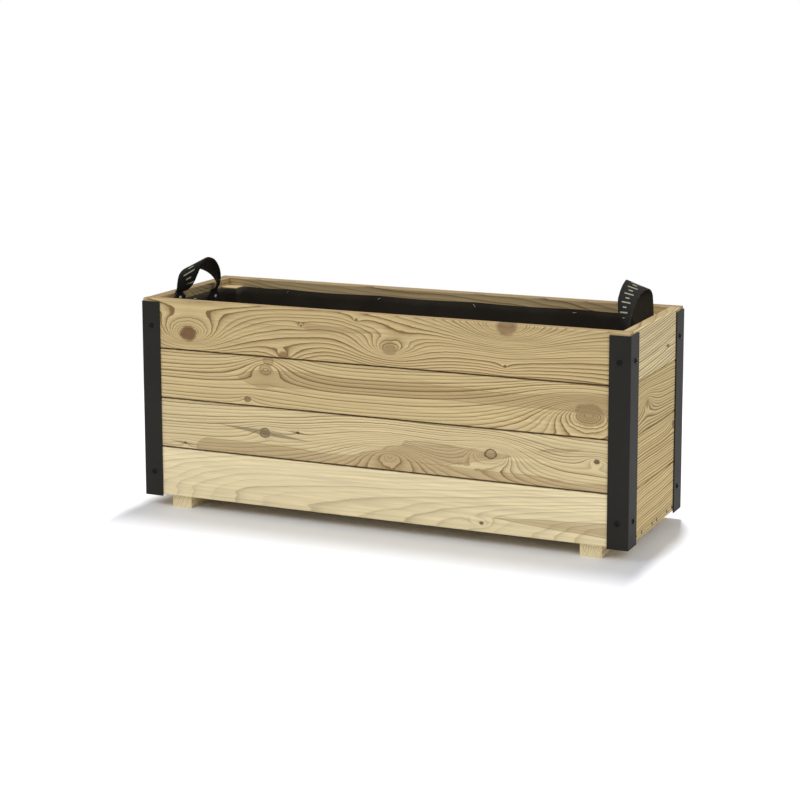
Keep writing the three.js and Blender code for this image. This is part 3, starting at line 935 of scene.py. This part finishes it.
def liner_ring(outline, share, turn):
    """One ring of the bag: share runs up its side and turn runs round from its side to its floor."""
    side_bottom = FLOOR_HIGH + LINER_CLEARANCE + LINER_FLOOR_RADIUS
    fold_share = mix(LINER_FOLD_ENDS, 1, math.sin(math.pi * share)) * math.cos(turn)
    ring = []
    for at, into in outline:
        fold = fold_at(at)
        inset = LINER_FLOOR_RADIUS * (1 - math.cos(turn)) + fold * fold_share * LINER_FOLD_DEPTH
        inset += (1 + wrinkle_at(at.x, share)) * fold * WRINKLE_DEPTH
        side_top = RIM - LINER_BELOW_RIM - LINER_SAG * fold
        height = mix(side_bottom, side_top, share) - LINER_FLOOR_RADIUS * math.sin(turn)
        plan = at + into * inset
        ring.append(Vector((plan.x, plan.y, height)))
    return ring


def add_liner(material):
    outline = liner_outline()
    turns = [math.pi / 2 * step / LINER_ROUND_STEPS for step in range(LINER_ROUND_STEPS, 0, -1)]
    rings = [liner_ring(outline, 0, turn) for turn in turns]
    rings += [liner_ring(outline, step / LINER_ROWS, 0) for step in range(LINER_ROWS + 1)]
    floor_face = [tuple(range(len(outline)))]
    points = [point for ring in rings for point in ring]
    liner = add_mesh("liner_cloth", points, ring_faces(len(rings), len(outline)) + floor_face)
    liner.data.polygons[-1].use_smooth = False
    liner.data.materials.append(material)
    solid = liner.modifiers.new("thickness", "SOLIDIFY")
    solid.thickness = LINER_THICKNESS
    solid.offset = 1
    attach(liner, "box")
    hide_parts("liner")


# Staples and nails


def tube(path, radius, sides):
    """Points and faces of a round wire along a path in the XZ plane, with its ends closed."""
    sideways = Vector((0, 1, 0))
    points = []
    for place, point in enumerate(path):
        ahead = path[min(place + 1, len(path) - 1)] - path[max(place - 1, 0)]
        flat = ahead.normalized().cross(sideways)
        for side in range(sides):
            angle = 2 * math.pi * side / sides
            points.append(point + radius * (math.cos(angle) * flat + math.sin(angle) * sideways))
    last = (len(path) - 1) * sides
    ends = [tuple(range(sides))[::-1], tuple(range(last, last + sides))]
    return points, ring_faces(len(path), sides) + ends


def staple_path():
    """From tip to tip of a staple, with its crown along X and its legs along Z."""
    half_crown = STAPLE_WIDTH / 2 - STAPLE_BEND
    right = [Vector((half_crown + STAPLE_BEND, 0, -STAPLE_LEG))]
    for step in range(STAPLE_BEND_STEPS + 1):
        angle = math.pi / 2 * step / STAPLE_BEND_STEPS
        out, down = STAPLE_BEND * math.cos(angle), STAPLE_BEND * (math.sin(angle) - 1)
        right.append(Vector((half_crown + out, 0, down)))
    left = [Vector((-point.x, 0, point.z)) for point in right]
    return left + right[::-1]


def add_fixings(name, points, faces, places, material):
    """One piece of equal fixings, each at a place given as a matrix."""
    all_points, all_faces = [], []
    for place in places:
        start = len(all_points)
        all_points += [place @ point for point in points]
        all_faces += [tuple(start + index for index in face) for face in faces]
    piece = add_mesh(name, all_points, all_faces)
    piece.data.materials.append(material)
    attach(piece, "box")


def outward(direction):
    """Turns what points along Z to point along a level direction, with X kept level."""
    z = Vector(direction)
    y = Vector((0, 0, 1))
    return Matrix((y.cross(z), y, z)).transposed().to_4x4()


def staple_places():
    seat = LINER_CLEARANCE + LINER_THICKNESS + STAPLE_WIRE / 2
    height = RIM - STAPLE_BELOW_RIM
    chance = random.Random("staples")
    places = []
    for side in (-1, 1):
        for count in range(STAPLES_A_SIDE):
            x = STAPLE_SHIFT + (count - (STAPLES_A_SIDE - 1) / 2) * STAPLE_PITCH
            uneven = chance.uniform(-STAPLE_UNEVENNESS, STAPLE_UNEVENNESS)
            at = Vector((x, side * (INSIDE_Y - seat), height + uneven))
            tilt = Matrix.Rotation(chance.uniform(-STAPLE_TILT, STAPLE_TILT), 4, "Z")
            places.append(Matrix.Translation(at) @ outward((0, -side, 0)) @ tilt)
        at = Vector((side * (INSIDE_X - seat), 0, height))
        places.append(Matrix.Translation(at) @ outward((-side, 0, 0)))
    return places


def nail_mesh():
    """A flat nail head with a worn edge and a shallow dish, over a short shank, about Z."""
    head, shank = NAIL_HEAD / 2, NAIL_SHANK / 2
    profile = [
        (head * 0.45, 0.1 * MM),
        (head * 0.8, 0.28 * MM),
        (head * 0.95, 0.22 * MM),
        (head, 0.05 * MM),
        (shank, -0.4 * MM),
        (shank, -NAIL_LENGTH),
    ]
    points = []
    for radius, z in profile:
        for side in range(NAIL_SIDES):
            angle = 2 * math.pi * side / NAIL_SIDES
            points.append(Vector((radius * math.cos(angle), radius * math.sin(angle), z)))
    faces = [face[::-1] for face in ring_faces(len(profile), NAIL_SIDES)]
    last = (len(profile) - 1) * NAIL_SIDES
    faces += [tuple(range(NAIL_SIDES)), tuple(range(last, last + NAIL_SIDES))[::-1]]
    return points, faces


def nail_places():
    """Two nails into each end of each floor board."""
    height = (FLOOR_LOW + FLOOR_HIGH) / 2
    places = []
    for side in (-1, 1):
        for board in ("front", "middle", "back"):
            low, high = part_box(f"floor_board_{board}")
            for share in NAIL_SHARES:
                at = Vector((side * END_FACE, mix(low.y, high.y, share), height))
                places.append(Matrix.Translation(at) @ outward((side, 0, 0)))
    return places


# Webbing handles


class Station(NamedTuple):
    """A place along a strap: its two edges."""

    wall: Vector
    free: Vector


def tail_stations(place, along, leg):
    """Up one tail: flat on the wall round its fixing, then narrower up to where its leg opens."""
    low = -leg.drop - TAIL_BELOW_FIXING
    flat_top = TAIL_FLAT_ABOVE_FIXING - leg.drop
    top = HINGE_ABOVE_RIM - leg.dip - TAIL_TO_LEG
    across = Vector((0, -math.copysign(1, along), 0))
    stations = []
    for step in range(TAIL_STEPS + 1):
        z = mix(low, top, step / TAIL_STEPS)
        narrow = smoothstep((z - flat_top) / (top - flat_top))
        width = mix(leg.tail_width, leg.foot_width, narrow)
        layers_saved = (width - FOLDED_WIDTH) / (WEBBING_WIDTH - FOLDED_WIDTH)
        centre = Vector((TAIL_SEAT + FOLD_RADIUS * layers_saved, along, z))
        centre += across * narrow * (leg.foot_width - FOLDED_WIDTH) / 2
        half = across * width / 2
        stations.append(Station(place @ (centre - half), place @ (centre + half)))
    return stations


def edge_point(bend, edge, side, reach, angle):
    """A point of the loop's wall edge (side 1) or free edge (side -1)."""
    height = math.sin(angle)
    share = smoothstep(angle / math.pi)
    dip = mix(bend.steep.dip, bend.slope.dip, share)
    opening = mix(bend.steep.opening, bend.slope.opening, share)
    half_span = (HANDLE_SPAN + FOLDED_WIDTH) / 2
    if side < 0:
        half_span -= mix(bend.steep.foot_width, bend.slope.foot_width, share)
    return Vector((
        reach * (1 - (1 - height ** bend.reach_power) ** opening),
        -half_span * math.cos(angle) - edge.lean * height ** 2,
        edge.rise * height ** bend.rise_power - dip * (1 - height) ** 2,
    ))


def loop_stations(place, bend):
    """Over the loop, a band between two arched edges, with stations closer together at its ends."""
    stations = []
    for step in range(1, LOOP_STEPS):
        angle = math.pi / 2 * (1 - math.cos(math.pi * step / LOOP_STEPS))
        wall = edge_point(bend, bend.wall_edge, 1, WALL_EDGE_REACH, angle)
        free = edge_point(bend, bend.free_edge, -1, FREE_EDGE_REACH, angle)
        stations.append(Station(place @ wall, place @ free))
    return stations


def strap_stations(side, turn, bend):
    wall = Matrix.Translation((side * INSIDE_X, -side * bend.off_middle, RIM))
    end = wall @ Matrix.Rotation(turn, 4, "Z")
    loop = end @ Matrix.Translation((TAIL_SEAT, 0, HINGE_ABOVE_RIM))
    half = HANDLE_SPAN / 2
    steep_tail = tail_stations(end, -half, bend.steep)
    slope_tail = tail_stations(end, half, bend.slope)
    return steep_tail + loop_stations(loop, bend) + slope_tail[::-1]


def folded_place(length, width):
    """Where a point of the webbing lies, across and out, with what is past width folded under."""
    straight = width - FOLD_RADIUS
    if length <= straight:
        return length, 0
    angle = (length - straight) / FOLD_RADIUS
    if angle <= math.pi:
        return straight + FOLD_RADIUS * math.sin(angle), -FOLD_RADIUS * (1 - math.cos(angle))
    return 2 * straight - length + math.pi * FOLD_RADIUS, -2 * FOLD_RADIUS


def strap_line(station, ahead):
    """Points across the middle of the webbing at one station, folded where its edges are close."""
    gap = station.free - station.wall
    across = gap.normalized()
    outer = across.cross(ahead).normalized()
    open_share = min((gap.length - FOLDED_WIDTH) / (WEBBING_WIDTH - FOLDED_WIDTH), 1)
    width = min(gap.length, WEBBING_WIDTH) + FOLD_RADIUS * open_share
    start = station.wall + across * max(gap.length - WEBBING_WIDTH, 0) / 2
    start += outer * FOLD_RADIUS * (1 - open_share)
    line = []
    for step in range(WEBBING_SPANS + 1):
        p, q = folded_place(WEBBING_WIDTH * step / WEBBING_SPANS, width)
        line.append(start + across * p + outer * q)
    return line


def thicken(lines):
    """Rings round a sheet given as lines across it: its outer face, then back along its inner face."""
    rings = []
    for row, line in enumerate(lines):
        before, after = lines[max(row - 1, 0)], lines[min(row + 1, len(lines) - 1)]
        outer, inner = [], []
        for place, point in enumerate(line):
            across = line[min(place + 1, len(line) - 1)] - line[max(place - 1, 0)]
            facing = across.cross(after[place] - before[place]).normalized()
            outer.append(point + facing * WEBBING_THICKNESS / 2)
            inner.append(point - facing * WEBBING_THICKNESS / 2)
        rings.append(outer + inner[::-1])
    return rings


def lay_webbing(strap, lengths, size):
    """Gives each face its place on the webbing: the length from its middle and the share across."""
    uv = strap.data.uv_layers.new(name="webbing")
    last_place = size // 2 - 1
    for face in strap.data.polygons:
        corners = [strap.data.loops[index].vertex_index for index in face.loop_indices]
        on_outer_face = all(corner % size <= last_place for corner in corners)
        for index, corner in zip(face.loop_indices, corners):
            ring, place = divmod(corner, size)
            across = min(place, size - 1 - place) / last_place
            if not on_outer_face:
                across += INNER_FACE_SHIFT
            uv.data[index].uv = (lengths[ring] - lengths[-1] / 2, across)


def add_strap(name, side, turn, bend, material):
    stations = strap_stations(side, turn, bend)
    middles = [(station.wall + station.free) / 2 for station in stations]
    last = len(stations) - 1
    lines = []
    for place, station in enumerate(stations):
        ahead = middles[min(place + 1, last)] - middles[max(place - 1, 0)]
        lines.append(strap_line(station, ahead))
    lengths = [0]
    for before, after in zip(middles, middles[1:]):
        lengths.append(lengths[-1] + (after - before).length)
    rings = thicken(lines)
    size = len(rings[0])
    end_faces = [tuple(range(size)), tuple(range(last * size, (last + 1) * size))[::-1]]
    faces = [face[::-1] for face in ring_faces(len(rings), size)] + end_faces
    strap = add_mesh(f"strap_{name}", [point for ring in rings for point in ring], faces)
    strap.data.materials.append(material)
    lay_webbing(strap, lengths, size)

    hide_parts(f"handle_{name}", f"strap_end_{name}_front", f"strap_end_{name}_rear")
    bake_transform(strap)


# Materials on the CAD nodes


def paint(node, material):
    node.material_slots[0].link = "OBJECT"
    node.material_slots[0].material = material


steel, screw_steel, bright = powder_coat(), black_steel(), zinc()
for node_name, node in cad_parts.items():
    grain = next((GRAINS[start] for start in GRAINS if node_name.startswith(start)), None)
    if grain:
        paint(node, board_material(node_name, grain))
    elif node_name.startswith("corner_angle"):
        paint(node, steel)
    elif node_name.startswith("strap_screw"):
        paint(node, bright)
    elif node_name.startswith("screw"):
        paint(node, screw_steel)

# Pieces

add_liner(liner_cloth())
add_fixings("liner_staples", *tube(staple_path(), STAPLE_WIRE / 2, WIRE_SIDES), staple_places(), bright)
add_fixings("floor_nails", *nail_mesh(), nail_places(), screw_steel)
cloth = webbing()
add_strap("left", side=-1, turn=0, bend=LEFT_BEND, material=cloth)
add_strap("right", side=1, turn=math.pi, bend=RIGHT_BEND, material=cloth)


# Stage


def add_floor():
    """A pale floor that fades into the white surroundings."""
    half = FLOOR_SIZE / 2
    corners = [(-half, -half, 0), (half, -half, 0), (half, half, 0), (-half, half, 0)]
    floor = add_mesh("floor", corners, [(0, 1, 2, 3)])
    s = Shader("floor")
    x, y, _ = s.place()
    fade = s.step(s.length(x, y), FLOOR_FADE_FROM, FLOOR_FADE_TO, start=1.0, end=0.0)
    floor.data.materials.append(s.finish(Base_Color=srgb(248, 250, 255), Roughness=0.9, Alpha=fade))


def turn_towards(aim, place):
    """The turn that points a lamp or a camera from its place to its aim."""
    return (aim - place).to_track_quat("-Z", "Y").to_matrix()


def add_lamp(name, lamp):
    light = bpy.data.lights.new(name, "AREA")
    light.shape = "ELLIPSE"
    light.size, light.size_y = lamp.size
    light.energy = lamp.power
    holder = bpy.data.objects.new(name, light)
    holder.location = lamp.place
    holder.rotation_euler = turn_towards(lamp.aim, lamp.place).to_euler()
    bpy.context.scene.collection.objects.link(holder)


def add_surroundings():
    """White to the eye and in reflections, and a softer level as light."""
    world = bpy.data.worlds.new("surroundings")
    world.use_nodes = True
    bpy.context.scene.world = world
    tree = world.node_tree
    rays = tree.nodes.new("ShaderNodeLightPath")
    seen = rays.outputs["Is Camera Ray"]
    for kind in ("Is Glossy Ray", "Is Transmission Ray"):
        either = tree.nodes.new("ShaderNodeMath")
        either.operation = "MAXIMUM"
        tree.links.new(seen, either.inputs[0])
        tree.links.new(rays.outputs[kind], either.inputs[1])
        seen = either.outputs[0]
    level = tree.nodes.new("ShaderNodeMapRange")
    level.inputs["To Min"].default_value = SKY_LEVEL
    level.inputs["To Max"].default_value = 1
    tree.links.new(seen, level.inputs["Value"])
    background = tree.nodes["Background"]
    background.inputs["Color"].default_value = (1, 1, 1, 1)
    tree.links.new(level.outputs[0], background.inputs["Strength"])


def add_camera():
    camera = bpy.data.cameras.new("camera")
    camera.lens = CAMERA_LENS
    camera.sensor_width = CAMERA_SENSOR
    camera.shift_y = CAMERA_SHIFT
    holder = bpy.data.objects.new("camera", camera)
    holder.location = CAMERA_PLACE
    turn = turn_towards(CAMERA_AIM, CAMERA_PLACE) @ Matrix.Rotation(CAMERA_ROLL, 3, "Z")
    holder.rotation_euler = turn.to_euler()
    bpy.context.scene.collection.objects.link(holder)
    bpy.context.scene.camera = holder


add_floor()
for lamp_name, lamp in LAMPS.items():
    add_lamp(lamp_name, lamp)
add_surroundings()
add_camera()
bpy.context.scene.view_settings.view_transform = "Standard"
